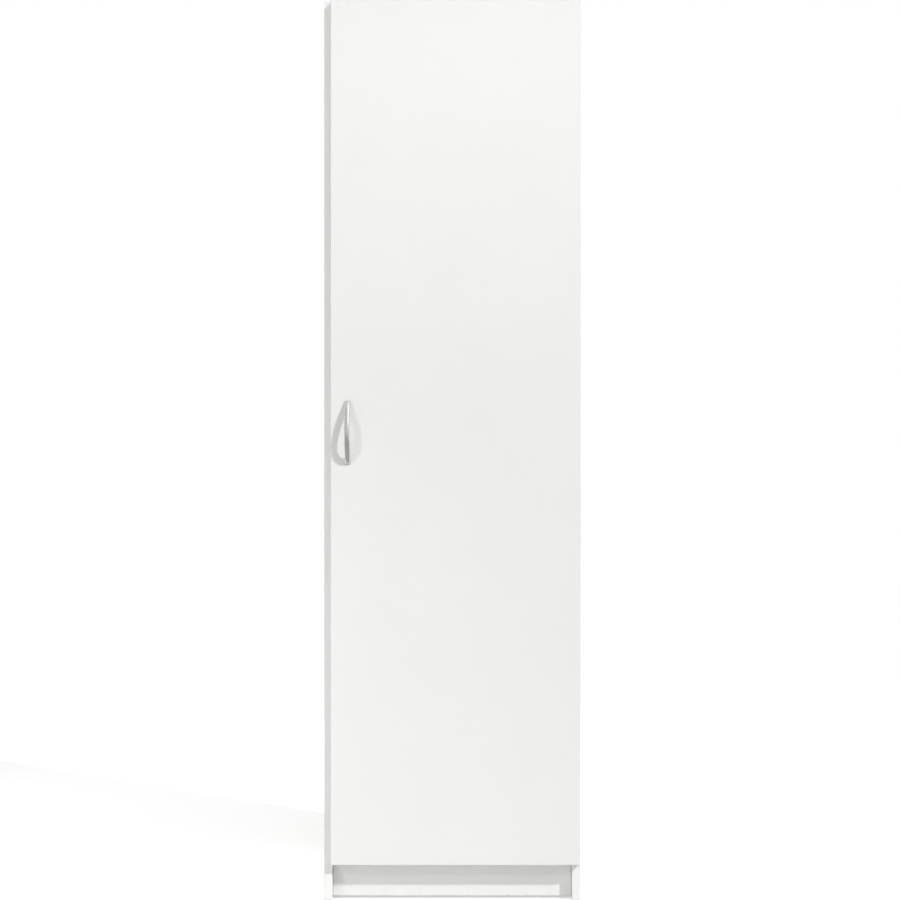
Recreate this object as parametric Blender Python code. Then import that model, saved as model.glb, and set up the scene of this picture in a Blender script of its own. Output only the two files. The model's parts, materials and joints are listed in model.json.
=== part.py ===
"""A one-door flat-pack wardrobe: its boards, fittings and concealed hinges, each as a piece of its own.

Units are metres. The floor is z = 0 and the front faces -Y. The origin lies under the middle of the outline.
"""

import math

import bmesh
import bpy
from mathutils import Matrix, Vector
from mathutils.geometry import interpolate_bezier

# Overall sizes
WIDTH = 0.500
HEIGHT = 1.758
DEPTH = 0.500  # rear edges of the sides to the front face of the door
BOARD = 0.016  # sides, top, bottom, shelf and plinth
FIT = 0.0003  # gap left between pieces that touch
EDGE_ROUND = 0.0006  # rounding of the boards' edges
SPARE = 0.001  # length by which a cut runs past the face it starts from

# Carcass
PLINTH_HEIGHT = 0.074  # floor to the underside of the bottom board
PLINTH_SETBACK = 0.022  # plinth behind the front edges of the sides
PLINTH_LIFT = 0.004  # lower edge of the plinth over the lower ends of the sides
BACK_THICKNESS = 0.003
BACK_INSET = 0.008  # back in front of the rear edges of the sides
GROOVE_DEPTH = 0.006
STRIP_WALL = 0.0012
STRIP_HEIGHT = 0.016
HAT_SPACE = 0.280  # clear height over the shelf
SHELF_SETBACK = 0.010

# Door
DOOR_THICKNESS = 0.016
DOOR_GAP = 0.002  # door to the front edges of the carcass
DOOR_TOP_REVEAL = 0.002
DOOR_HINGE_REVEAL = 0.0005  # hinge edge of the door inside the outer face of the right side
DOOR_LAP = 0.0025  # lap of the door over the front edge of the left side

# Handle
HANDLE_LENGTH = 0.124
HANDLE_REACH = 0.0275
HANDLE_WIDTH = 0.011
HANDLE_GRIP = 0.0042  # thickness in the middle of the bow
HANDLE_TIP = 0.002  # height of the blunt ends
HANDLE_OPENING = 0.100  # length of the finger gap along the door
HANDLE_CROWN = 0.0032  # swell of the front across the bar
HANDLE_EASE = 0.0003  # rear edges
HANDLE_INSET = 0.033  # centre line to the free edge of the door
SCREW_RADIUS = 0.002
SCREW_HEAD_RADIUS = 0.0045
SCREW_HEAD_HEIGHT = 0.0024
SCREW_CROWN_RADIUS = 0.0031  # flat middle of the screw head
SCREW_GRIP = 0.004  # length of screw inside the handle

# Door bumpers
BUMPER_RADIUS = 0.004
BUMPER_CROWN_RADIUS = 0.0028
BUMPER_INSET = 0.025  # centre to the free edge of the door

# Clothes rail
RAIL_RADIUS = 0.0125
RAIL_WALL = 0.001
RAIL_DROP = 0.050  # axis under the shelf
BRACKET_RADIUS = 0.022
BRACKET_BASE = 0.0025
BRACKET_COLLAR = 0.014
BRACKET_WALL = 0.0022
BRACKET_HOLE_RADIUS = 0.0018

# Shelf pins
PIN_RADIUS = 0.0025
PIN_DEPTH = 0.0085
PIN_HEAD_RADIUS = 0.0035
PIN_HEAD = 0.008
PIN_PITCH = 0.032  # between the rows of pin holes
PIN_INSET = 0.060  # pins from the front and rear edges of the shelf

# Cam locks and their bolts
CAM_RADIUS = 0.0073
CAM_HEIGHT = 0.012
CAM_REACH = 0.034  # end of the board to the centre of the cam
CAM_SLOT_WIDTH = 0.0016
CAM_SLOT_DEPTH = 0.0015
BOLT_INSET = 0.050  # from the front and rear edges of the board
BOLT_THREAD_RADIUS = 0.0025
BOLT_THREAD = 0.0105
BOLT_SHANK_RADIUS = 0.0033
BOLT_SHANK = 0.023
BOLT_NECK_RADIUS = 0.002
BOLT_HEAD_RADIUS = 0.0032
BOLT_HEAD = 0.006

# Glides under the sides
GLIDE_RADIUS = 0.0075
GLIDE_THICKNESS = 0.002
GLIDE_NAIL_RADIUS = 0.0011
GLIDE_NAIL = 0.014
GLIDE_INSET = 0.035

# Concealed hinges
HINGE_INSET = 0.100  # outer hinges from the ends of the door
HINGE_PIN_RADIUS = 0.0011
HINGE_PIN_PLAY = 0.0001  # running clearance of a pin in its eye
CUP_RADIUS = 0.0174
CUP_WALL = 0.0015
CUP_DEPTH = 0.012
CUP_FLOOR = 0.0014
CUP_CENTRE = 0.0225  # from the hinge edge of the door
CUP_RIM = 0.0181
CUP_FLANGE = 0.0009
CUP_WING_HALF = 0.030
CUP_WING_WIDTH = 0.012
CUP_WING_OFFSET = 0.006  # screw line of the wings beyond the centre of the cup
CUP_SCREW_HALF = 0.024  # screw holes from the middle of the cup
CUP_HOLE_RADIUS = 0.0019
CUP_PIN_EDGE = 0.0107  # cup pin from the hinge edge of the door
CUP_PIN_DEPTH = 0.0048  # cup pin below the rear face of the door
ARM_PIN_OFFSET = 0.020  # arm pin from the inner face of the side
ARM_PIN_DEPTH = 0.0056  # arm pin behind the front edge of the side
ARM_NOSE_RADIUS = 0.0036
ARM_NOSE_END = 340  # degrees, where the round nose runs into the skirt
ARM_HEIGHT = 0.024  # top of the arm over the side
ARM_SKIRT = 0.011  # lower edge of the arm over the side
ARM_LENGTH = 0.062  # rear end behind the front edge of the side
ARM_WALL = 0.0016
ARM_HALF = 0.0066  # half of the arm's width along the door
ARM_HOLE_RADIUS = 0.0022  # hole of the adjusting screw and half the width of the rear slot
LEVER_HALF = 0.0045
LEVER_EYE = 0.0026
LEVER_WAIST = 0.0019
LEVER_SWELL = 4  # power by which the waist grows into the eyes
LEVER_ARM_PULL = Vector((-0.0015, -0.0086))  # bend of the lever at the arm pin
LEVER_CUP_PULL = Vector((-0.0063, -0.0104))  # bend of the lever at the cup pin
PLATE_SCREW_LINE = 0.037  # behind the front edge of the side
PLATE_WING_HALF = 0.024
PLATE_WING_WIDTH = 0.013
PLATE_THICKNESS = 0.0025
PLATE_RIDGE_FRONT = 0.014
PLATE_RIDGE_REAR = 0.058
PLATE_POST = 0.012  # length of the ridge's two posts
PLATE_DIP = 0.008  # depth of the dip between the posts
PLATE_SCREW_HALF = 0.016  # screw holes from the middle of the plate
PLATE_HOLE_RADIUS = 0.0021

# Facets
SMALL_SIDES = 12
ROUND_SIDES = 24
CUP_SIDES = 32
LEVER_STEPS = 10
EYE_STEPS = 6
BOW_STEPS = 16
CROWN_STEPS = 10
SHARP_ANGLE = math.radians(35)

# Planes that the pieces share
BACK = (DEPTH + HANDLE_REACH) / 2
DOOR_FACE = BACK - DEPTH
DOOR_REAR = DOOR_FACE + DOOR_THICKNESS
FRONT = DOOR_REAR + DOOR_GAP
INNER = WIDTH / 2 - BOARD
GROOVE_BACK = BACK - BACK_INSET
BACK_FACE = GROOVE_BACK - FIT - BACK_THICKNESS
BOARD_REAR = BACK_FACE - FIT
SIDE_BOTTOM = GLIDE_THICKNESS + FIT
TOP_UNDERSIDE = HEIGHT - BOARD
SHELF_UNDERSIDE = TOP_UNDERSIDE - HAT_SPACE - BOARD
BACK_JOINT = (PLINTH_HEIGHT + HEIGHT) / 2
BOLT_PLACES = (FRONT + BOLT_INSET, BOARD_REAR - BOLT_INSET)
BOLT_BOARDS = {"top": TOP_UNDERSIDE, "bottom": PLINTH_HEIGHT}
PIN_PLACES = (FRONT + SHELF_SETBACK + PIN_INSET, BOARD_REAR - PIN_INSET)
PIN_HEIGHT = SHELF_UNDERSIDE - FIT - PIN_HEAD_RADIUS
GLIDE_PLACES = (FRONT + GLIDE_INSET, BACK - GLIDE_INSET)
RAIL_HEIGHT = SHELF_UNDERSIDE - RAIL_DROP
RAIL_PLACE = (FRONT + BACK_FACE) / 2
DOOR_LEFT = -INNER - DOOR_LAP
DOOR_RIGHT = WIDTH / 2 - DOOR_HINGE_REVEAL
DOOR_BOTTOM = PLINTH_HEIGHT
DOOR_TOP = HEIGHT - DOOR_TOP_REVEAL
DOOR_MIDDLE = (DOOR_BOTTOM + DOOR_TOP) / 2
HANDLE_PLACE = DOOR_LEFT + HANDLE_INSET
HANDLE_HOLES = (HANDLE_LENGTH + HANDLE_OPENING) / 2  # between the middles of the feet
HINGES = {
    "top": DOOR_TOP - HINGE_INSET,
    "middle": DOOR_MIDDLE,
    "bottom": DOOR_BOTTOM + HINGE_INSET,
}

# Hinge points seen from above, measured from the inner front edge of the right side
ARM_PIN = Vector((-ARM_PIN_OFFSET, ARM_PIN_DEPTH))
CUP_PIN = Vector((DOOR_RIGHT - CUP_PIN_EDGE - INNER, -DOOR_GAP - CUP_PIN_DEPTH))
CUP_MIDDLE = DOOR_RIGHT - CUP_CENTRE - INNER

SIDES = {"left": -1, "right": 1}
ENDS = {"front": 0, "rear": 1}
X, Y, Z = Vector((1, 0, 0)), Vector((0, 1, 0)), Vector((0, 0, 1))
PROFILE_ALONG_X = Matrix(((0, 0, 1, 0), (1, 0, 0, 0), (0, 1, 0, 0), (0, 0, 0, 1)))
PROFILE_UPRIGHT = Matrix(((1, 0, 0, 0), (0, 0, -1, 0), (0, 1, 0, 0), (0, 0, 0, 1)))

# Colour, roughness and metallic value of each finish
LOOKS = {
    "white board": ((0.84, 0.84, 0.82), 0.42, 0.0),
    "white fibreboard": ((0.80, 0.80, 0.78), 0.55, 0.0),
    "white plastic": ((0.80, 0.80, 0.79), 0.40, 0.0),
    "clear rubber": ((0.72, 0.72, 0.70), 0.30, 0.0),
    "satin nickel": ((0.60, 0.59, 0.56), 0.30, 1.0),
    "nickel steel": ((0.66, 0.66, 0.65), 0.28, 1.0),
    "chromed tube": ((0.74, 0.74, 0.75), 0.15, 1.0),
    "zinc": ((0.58, 0.59, 0.60), 0.40, 1.0),
}


def clear_scene():
    for obj in list(bpy.data.objects):
        bpy.data.objects.remove(obj, do_unlink=True)


def finish(name, look):
    colour, roughness, metallic = LOOKS[look]
    material = bpy.data.materials.new(name)
    material.use_nodes = True
    shader = material.node_tree.nodes["Principled BSDF"]
    shader.inputs["Base Color"].default_value = (*colour, 1.0)
    shader.inputs["Roughness"].default_value = roughness
    shader.inputs["Metallic"].default_value = metallic
    return material


def as_mesh(name, shape):
    """The shape as a smooth-shaded mesh whose corners stay sharp."""
    mesh = bpy.data.meshes.new(name)
    shape.to_mesh(mesh)
    shape.free()
    mesh.shade_smooth()
    mesh.set_sharp_from_angle(angle=SHARP_ANGLE)
    return mesh


def add(name, mesh, look, place=(0, 0, 0), parent=None):
    """An object at a place in the room, carried by its parent where it has one."""
    mesh = mesh.copy()
    mesh.name = name
    mesh.materials.clear()
    mesh.materials.append(finish(name, look))
    obj = bpy.data.objects.new(name, mesh)
    bpy.context.scene.collection.objects.link(obj)
    obj.location = Vector(place)
    if parent:
        obj.parent = parent
        obj.location -= parent.location
    return obj


def pivot(name, place):
    empty = bpy.data.objects.new(name, None)
    bpy.context.scene.collection.objects.link(empty)
    empty.location = Vector(place)
    return empty


def block(low, high):
    """A closed box between two corners."""
    shape = bmesh.new()
    bmesh.ops.create_cube(shape, size=1.0)
    low, high = Vector(low), Vector(high)
    matrix = Matrix.Translation((low + high) / 2) @ Matrix.Diagonal((*(high - low), 1.0))
    bmesh.ops.transform(shape, matrix=matrix, verts=shape.verts)
    return shape


def eased_block(low, high):
    """A box with its edges eased, as on a board with edge band."""
    shape = block(low, high)
    bmesh.ops.bevel(shape, geom=shape.edges[:], offset=EDGE_ROUND, segments=1, affect="EDGES")
    return shape


def turned(profile, sides, along=Z):
    """A body turned from (radius, height) points: from axis to axis, or round a bore."""
    shape = bmesh.new()
    rings = []
    for radius, height in profile:
        count = sides if radius else 1
        angles = [2 * math.pi * i / sides for i in range(count)]
        rings.append([shape.verts.new((radius * math.cos(a), radius * math.sin(a), height)) for a in angles])
    pairs = list(zip(rings, rings[1:]))
    if profile[0][0]:
        pairs.append((rings[-1], rings[0]))
    for lower, upper in pairs:
        for i in range(sides):
            left = [ring[i % len(ring)] for ring in (lower, upper)]
            right = [ring[(i + 1) % len(ring)] for ring in (lower, upper)]
            shape.faces.new(dict.fromkeys([left[0], right[0], right[1], left[1]]))
    bmesh.ops.recalc_face_normals(shape, faces=shape.faces)
    turn = Z.rotation_difference(along).to_matrix().to_4x4()
    bmesh.ops.transform(shape, matrix=turn, verts=shape.verts)
    return shape


def rod(radius, length, along, start, sides=SMALL_SIDES):
    """A plain round bar that runs from its start along a direction."""
    shape = turned([(0, 0), (radius, 0), (radius, length), (0, length)], sides, along)
    return moved(shape, start)


def prism(outline, low, high, turn=Matrix.Identity(4)):
    """An outline in a plane, extruded between two heights over the plane and then turned."""
    shape = bmesh.new()
    floor = shape.faces.new([shape.verts.new((x, y, low)) for x, y in outline])
    extruded = bmesh.ops.extrude_face_region(shape, geom=[floor], use_keep_orig=True)
    top = [v for v in extruded["geom"] if isinstance(v, bmesh.types.BMVert)]
    bmesh.ops.translate(shape, verts=top, vec=(0, 0, high - low))
    bmesh.ops.recalc_face_normals(shape, faces=shape.faces)
    bmesh.ops.transform(shape, matrix=turn, verts=shape.verts)
    return shape


def loft(sections):
    """A skin over sections of as many points each, closed at both ends."""
    shape = bmesh.new()
    rings = [[shape.verts.new(point) for point in section] for section in sections]
    for near, far in zip(rings, rings[1:]):
        for i in range(len(near)):
            shape.faces.new((near[i - 1], near[i], far[i], far[i - 1]))
    for ring in (rings[0], rings[-1]):
        shape.faces.new(ring)
    bmesh.ops.recalc_face_normals(shape, faces=shape.faces)
    return shape


def moved(shape, offset):
    bmesh.ops.translate(shape, verts=shape.verts, vec=offset)
    return shape


def together(shapes):
    """Shapes that don't meet, held in one mesh."""
    whole = bmesh.new()
    for shape in shapes:
        mesh = bpy.data.meshes.new("piece")
        shape.to_mesh(mesh)
        shape.free()
        whole.from_mesh(mesh)
        bpy.data.meshes.remove(mesh)
    return whole


def carved(name, body, *steps):
    """The body after Boolean steps, each an operation and a shape, as a mesh."""
    pieces = [bpy.data.objects.new(name, as_mesh(name, body))]
    for operation, shape in steps:
        pieces.append(bpy.data.objects.new(name + "_step", as_mesh(name + "_step", shape)))
        boolean = pieces[0].modifiers.new(operation.lower(), "BOOLEAN")
        boolean.operation = operation
        boolean.solver = "EXACT"
        boolean.object = pieces[-1]
    for piece in pieces:
        bpy.context.scene.collection.objects.link(piece)
    bpy.context.view_layer.update()
    graph = bpy.context.evaluated_depsgraph_get()
    mesh = bpy.data.meshes.new_from_object(pieces[0].evaluated_get(graph))
    for piece in pieces:
        bpy.data.objects.remove(piece, do_unlink=True)
    mesh.shade_smooth()
    mesh.set_sharp_from_angle(angle=SHARP_ANGLE)
    return mesh


def arc(centre, radius, start, end, steps):
    """Points along an arc, both ends included, with angles in degrees."""
    points = []
    for i in range(steps + 1):
        angle = math.radians(start + (end - start) * i / steps)
        points.append((centre[0] + radius * math.cos(angle), centre[1] + radius * math.sin(angle)))
    return points


def rounded_bar(half, width, steps=EYE_STEPS):
    """An outline with round ends, along the second axis."""
    radius = width / 2
    upper = arc((0, half - radius), radius, 0, 180, steps)
    lower = arc((0, radius - half), radius, 180, 360, steps)
    return upper + lower


def side_holes(side):
    """Holes in a side for the cam bolts, the shelf pins and the nails of the glides."""
    outward = side * X
    face = side * (INNER - SPARE)
    holes = []
    for underside in BOLT_BOARDS.values():
        for place in BOLT_PLACES:
            start = (face, place, underside + BOARD / 2)
            holes.append(rod(BOLT_THREAD_RADIUS + FIT, SPARE + BOLT_THREAD + FIT, outward, start))
    for row in (-1, 0, 1):
        for place in PIN_PLACES:
            start = (face, place, PIN_HEIGHT + row * PIN_PITCH)
            holes.append(rod(PIN_RADIUS + FIT, SPARE + PIN_DEPTH + FIT, outward, start))
    for place in GLIDE_PLACES:
        start = (side * (WIDTH - BOARD) / 2, place, SIDE_BOTTOM - SPARE)
        holes.append(rod(GLIDE_NAIL_RADIUS + FIT, SPARE + GLIDE_NAIL + FIT, Z, start))
    return together(holes)


def side_panel(name, side):
    inner, outer = sorted((side * INNER, side * WIDTH / 2))
    body = eased_block((inner, FRONT, SIDE_BOTTOM), (outer, BACK, HEIGHT))
    groove_ends = sorted((side * (INNER - SPARE), side * (INNER + GROOVE_DEPTH)))
    groove = block(
        (groove_ends[0], BOARD_REAR, SIDE_BOTTOM - SPARE),
        (groove_ends[1], GROOVE_BACK, HEIGHT + SPARE),
    )
    mesh = carved(name, body, ("DIFFERENCE", groove), ("DIFFERENCE", side_holes(side)))
    add(name, mesh, "white board")


def cross_board(name, underside):
    """The top or bottom board, with a pocket and a bore for each cam lock."""
    half = INNER - FIT
    body = eased_block((-half, FRONT, underside), (half, BOARD_REAR, underside + BOARD))
    pockets, bores = [], []
    for side in SIDES.values():
        for place in BOLT_PLACES:
            centre = side * (INNER - CAM_REACH)
            depth = CAM_HEIGHT + 2 * FIT
            pocket_start = (centre, place, underside - SPARE)
            pockets.append(rod(CAM_RADIUS + FIT, SPARE + depth, Z, pocket_start, ROUND_SIDES))
            bore_start = (centre, place, underside + BOARD / 2)
            bores.append(rod(BOLT_SHANK_RADIUS + FIT, CAM_REACH + SPARE, side * X, bore_start))
    mesh = carved(name, body, ("DIFFERENCE", together(pockets)), ("DIFFERENCE", together(bores)))
    add(name, mesh, "white board")


def plain_board(name, low, high):
    add(name, as_mesh(name, eased_block(low, high)), "white board")


def hat_shelf():
    half = INNER - FIT
    low = (-half, FRONT + SHELF_SETBACK, SHELF_UNDERSIDE)
    plain_board("hat_shelf", low, (half, BOARD_REAR, SHELF_UNDERSIDE + BOARD))


def plinth_board():
    half = INNER - FIT
    face = FRONT + PLINTH_SETBACK
    low = (-half, face, SIDE_BOTTOM + PLINTH_LIFT)
    plain_board("plinth_board", low, (half, face + BOARD, PLINTH_HEIGHT - FIT))


def back_panels():
    """Two thin halves in the grooves of the sides, with a joint strip between them."""
    half = INNER + GROOVE_DEPTH - FIT
    edge = STRIP_WALL / 2 + FIT
    spans = {"lower": (PLINTH_HEIGHT, BACK_JOINT - edge), "upper": (BACK_JOINT + edge, HEIGHT)}
    for name, (bottom, top) in spans.items():
        body = block((-half, BACK_FACE, bottom), (half, BACK_FACE + BACK_THICKNESS, top))
        full_name = "back_panel_" + name
        add(full_name, as_mesh(full_name, body), "white fibreboard")


def back_joint_strip():
    """An H-shaped strip that grips both halves of the back."""
    inside = BACK_THICKNESS / 2 + FIT
    outside = inside + STRIP_WALL
    tall, thin = STRIP_HEIGHT / 2, STRIP_WALL / 2
    flange = [(inside, -thin), (inside, -tall), (outside, -tall)]
    flange += [(outside, tall), (inside, tall), (inside, thin)]
    outline = flange + [(-y, -z) for y, z in flange]
    body = prism(outline, FIT - INNER, INNER - FIT, PROFILE_ALONG_X)
    place = (0, BACK_FACE + BACK_THICKNESS / 2, BACK_JOINT)
    add("back_joint_strip", as_mesh("back_joint_strip", body), "white plastic", place)


def shelf_pins():
    length = PIN_DEPTH + PIN_HEAD
    profile = [(0, 0), (PIN_HEAD_RADIUS, 0), (PIN_HEAD_RADIUS, PIN_HEAD), (PIN_RADIUS, PIN_HEAD)]
    profile += [(PIN_RADIUS, length), (0, length)]
    for side_name, side in SIDES.items():
        mesh = as_mesh("shelf_pin", turned(profile, SMALL_SIDES, side * X))
        for end_name, end in ENDS.items():
            place = (side * (INNER - FIT - PIN_HEAD), PIN_PLACES[end], PIN_HEIGHT)
            add(f"shelf_pin_{end_name}_{side_name}", mesh, "nickel steel", place)


def clothes_rail():
    half = INNER - BRACKET_BASE - 2 * FIT
    bore = RAIL_RADIUS - RAIL_WALL
    profile = [(bore, -half), (RAIL_RADIUS, -half), (RAIL_RADIUS, half), (bore, half)]
    mesh = as_mesh("clothes_rail", turned(profile, ROUND_SIDES, X))
    add("clothes_rail", mesh, "chromed tube", (0, RAIL_PLACE, RAIL_HEIGHT))


def rail_brackets():
    """Round sockets screwed to the sides, which hold the ends of the rail."""
    bore = RAIL_RADIUS + FIT
    collar = bore + BRACKET_WALL
    shoulder = BRACKET_BASE + BRACKET_WALL / 2
    profile = [(0, 0), (BRACKET_RADIUS, 0), (BRACKET_RADIUS, BRACKET_BASE), (collar, shoulder)]
    profile += [(collar, BRACKET_COLLAR), (bore, BRACKET_COLLAR), (bore, BRACKET_BASE), (0, BRACKET_BASE)]
    for name, side in SIDES.items():
        inward = -side * X
        holes = []
        for end in (-1, 1):
            start = (side * SPARE, end * (BRACKET_RADIUS + collar) / 2, 0)
            holes.append(rod(BRACKET_HOLE_RADIUS, shoulder + 2 * SPARE, inward, start))
        body = turned(profile, ROUND_SIDES, inward)
        mesh = carved("rail_bracket", body, ("DIFFERENCE", together(holes)))
        place = (side * (INNER - FIT), RAIL_PLACE, RAIL_HEIGHT)
        add("rail_bracket_" + name, mesh, "nickel steel", place)


def cam_mesh(side):
    """A cam lock, open towards the side board, with a screwdriver slot in its face."""
    body = turned([(0, 0), (CAM_RADIUS, 0), (CAM_RADIUS, CAM_HEIGHT), (0, CAM_HEIGHT)], ROUND_SIDES)
    room = BOLT_HEAD_RADIUS + FIT
    axis = BOARD / 2 - FIT
    reach = sorted((-side * room, side * (CAM_RADIUS + SPARE)))
    channel = block((reach[0], -room, axis - room), (reach[1], room, axis + room))
    half_slot = CAM_SLOT_WIDTH / 2
    slot = block(
        (-CAM_RADIUS - SPARE, -half_slot, -SPARE),
        (CAM_RADIUS + SPARE, half_slot, CAM_SLOT_DEPTH),
    )
    return carved("cam_lock", body, ("DIFFERENCE", channel), ("DIFFERENCE", slot))


def bolt_mesh(side):
    """A cam bolt: its thread in the side board, its head in the cam."""
    head_end = CAM_REACH + BOLT_HEAD / 2
    head_start = CAM_REACH - BOLT_HEAD / 2
    profile = [(0, -BOLT_THREAD), (BOLT_THREAD_RADIUS, -BOLT_THREAD), (BOLT_THREAD_RADIUS, FIT)]
    profile += [(BOLT_SHANK_RADIUS, FIT), (BOLT_SHANK_RADIUS, BOLT_SHANK), (BOLT_NECK_RADIUS, BOLT_SHANK)]
    profile += [(BOLT_NECK_RADIUS, head_start), (BOLT_HEAD_RADIUS, head_start)]
    profile += [(BOLT_HEAD_RADIUS, head_end), (0, head_end)]
    return as_mesh("cam_bolt", turned(profile, SMALL_SIDES, -side * X))


def cam_locks():
    for side_name, side in SIDES.items():
        cam, bolt = cam_mesh(side), bolt_mesh(side)
        for board_name, underside in BOLT_BOARDS.items():
            for end_name, end in ENDS.items():
                tail = f"{board_name}_{end_name}_{side_name}"
                place = BOLT_PLACES[end]
                cam_place = (side * (INNER - CAM_REACH), place, underside + FIT)
                add("cam_lock_" + tail, cam, "zinc", cam_place)
                add("cam_bolt_" + tail, bolt, "zinc", (side * INNER, place, underside + BOARD / 2))


def glides():
    """Nail-on feet under the ends of the sides."""
    top = GLIDE_THICKNESS + GLIDE_NAIL
    profile = [(0, 0), (GLIDE_RADIUS - GLIDE_THICKNESS / 2, 0), (GLIDE_RADIUS, GLIDE_THICKNESS / 2)]
    profile += [(GLIDE_RADIUS, GLIDE_THICKNESS), (GLIDE_NAIL_RADIUS, GLIDE_THICKNESS)]
    profile += [(GLIDE_NAIL_RADIUS, top), (0, top)]
    mesh = as_mesh("glide", turned(profile, ROUND_SIDES))
    for side_name, side in SIDES.items():
        for end_name, end in ENDS.items():
            place = (side * (WIDTH - BOARD) / 2, GLIDE_PLACES[end], 0)
            add(f"glide_{end_name}_{side_name}", mesh, "white plastic", place)


def door_panel(door):
    body = eased_block((DOOR_LEFT, DOOR_FACE, DOOR_BOTTOM), (DOOR_RIGHT, DOOR_REAR, DOOR_TOP))
    cuts = []
    for height in HINGES.values():
        start = (INNER + CUP_MIDDLE, DOOR_REAR + SPARE, height)
        cuts.append(rod(CUP_RADIUS + FIT, SPARE + CUP_DEPTH + FIT, -Y, start, CUP_SIDES))
    for end in (-1, 1):
        start = (HANDLE_PLACE, DOOR_REAR + SPARE, DOOR_MIDDLE + end * HANDLE_HOLES / 2)
        cuts.append(rod(SCREW_RADIUS + FIT, DOOR_THICKNESS + 2 * SPARE, -Y, start))
    mesh = carved("door_panel", body, ("DIFFERENCE", together(cuts)))
    mesh.transform(Matrix.Translation(-door.location))
    add("door_panel", mesh, "white board", door.location, door)


def bow_height(place, half, rise, base):
    """Height of a flat arc over a place on its chord, which is 2 * half long."""
    radius = (half**2 + rise**2) / (2 * rise)
    return base + rise - radius + math.sqrt(radius**2 - place**2)


def handle_section(top, base):
    """A section of the bar, wide along the door, with a crowned front and eased rear edges."""
    half = HANDLE_WIDTH / 2
    crown = min(HANDLE_CROWN, top - base - 2 * HANDLE_EASE)
    front = [(half * x, top - crown + crown * rise) for x, rise in arc((0, 0), 1, 0, 180, CROWN_STEPS)]
    rear = [(half - HANDLE_EASE, base), (half, base + HANDLE_EASE)]
    return rear + front + [(-x, depth) for x, depth in reversed(rear)]


def handle_places():
    """Places of the sections: evenly over the finger gap, and the middles, quarters and ends of the feet."""
    half, gap = HANDLE_LENGTH / 2, HANDLE_OPENING / 2
    over_gap = [gap * (2 * i / BOW_STEPS - 1) for i in range(BOW_STEPS + 1)]
    foot = [(half + gap) / 2, (3 * half + gap) / 4, half]
    return [-place for place in reversed(foot)] + over_gap + foot


def handle(door):
    """A bow whose back is hollowed by a flatter arc, which leaves two solid feet."""
    half, gap = HANDLE_LENGTH / 2, HANDLE_OPENING / 2
    rise = HANDLE_REACH - FIT
    sections = []
    for place in handle_places():
        top = bow_height(place, half, rise - HANDLE_TIP, HANDLE_TIP)
        base = bow_height(place, gap, rise - HANDLE_GRIP, 0) if abs(place) < gap else 0
        sections.append([(x, -depth, place) for x, depth in handle_section(top, base)])
    holes = []
    for end in (-1, 1):
        start = (0, SPARE, end * HANDLE_HOLES / 2)
        holes.append(rod(SCREW_RADIUS + FIT, SPARE + SCREW_GRIP + FIT, -Y, start))
    mesh = carved("handle", loft(sections), ("DIFFERENCE", together(holes)))
    add("handle", mesh, "satin nickel", (HANDLE_PLACE, DOOR_FACE - FIT, DOOR_MIDDLE), door)


def handle_screws(door):
    shank = SCREW_HEAD_HEIGHT + FIT + DOOR_THICKNESS + SCREW_GRIP
    profile = [(0, 0), (SCREW_CROWN_RADIUS, 0), (SCREW_HEAD_RADIUS, SCREW_HEAD_HEIGHT / 2)]
    profile += [(SCREW_HEAD_RADIUS, SCREW_HEAD_HEIGHT), (SCREW_RADIUS, SCREW_HEAD_HEIGHT)]
    profile += [(SCREW_RADIUS, shank), (0, shank)]
    mesh = as_mesh("handle_screw", turned(profile, SMALL_SIDES, -Y))
    rear = DOOR_REAR + FIT + SCREW_HEAD_HEIGHT
    for name, end in {"top": 1, "bottom": -1}.items():
        place = (HANDLE_PLACE, rear, DOOR_MIDDLE + end * HANDLE_HOLES / 2)
        add("handle_screw_" + name, mesh, "nickel steel", place, door)


def door_bumpers(door):
    """Soft domes on the door that meet the front edges of the top and bottom boards."""
    height = DOOR_GAP - 2 * FIT
    profile = [(0, 0), (BUMPER_RADIUS, 0), (BUMPER_RADIUS, height / 2)]
    profile += [(BUMPER_CROWN_RADIUS, height), (0, height)]
    mesh = as_mesh("door_bumper", turned(profile, SMALL_SIDES, Y))
    for name, underside in BOLT_BOARDS.items():
        place = (DOOR_LEFT + BUMPER_INSET, DOOR_REAR + FIT, underside + BOARD / 2)
        add("door_bumper_" + name, mesh, "clear rubber", place, door)


def hinge_plate_mesh():
    """A mounting plate: screwed wings and a ridge with two posts that the arm straddles."""
    top = ARM_WALL + FIT - ARM_HEIGHT
    dip = top + PLATE_DIP
    front, rear = PLATE_RIDGE_FRONT, PLATE_RIDGE_REAR
    ridge = [(-FIT, front), (-FIT, rear), (top, rear), (top, rear - PLATE_POST)]
    ridge += [(dip, rear - PLATE_POST - PLATE_DIP / 2), (dip, front + PLATE_POST + PLATE_DIP / 2)]
    ridge += [(top, front + PLATE_POST), (top, front)]
    half = ARM_HALF - ARM_WALL - FIT
    body = prism(ridge, -half, half)
    wing_outline = rounded_bar(PLATE_WING_HALF, PLATE_WING_WIDTH)
    wings = prism(wing_outline, -PLATE_THICKNESS - FIT, -FIT, PROFILE_ALONG_X)
    wings = moved(wings, (0, PLATE_SCREW_LINE, 0))
    holes = []
    for end in (-1, 1):
        start = (SPARE - FIT, PLATE_SCREW_LINE, end * PLATE_SCREW_HALF)
        holes.append(rod(PLATE_HOLE_RADIUS, PLATE_THICKNESS + 2 * SPARE, -X, start))
    return carved("hinge_plate", body, ("UNION", wings), ("DIFFERENCE", together(holes)))


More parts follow.
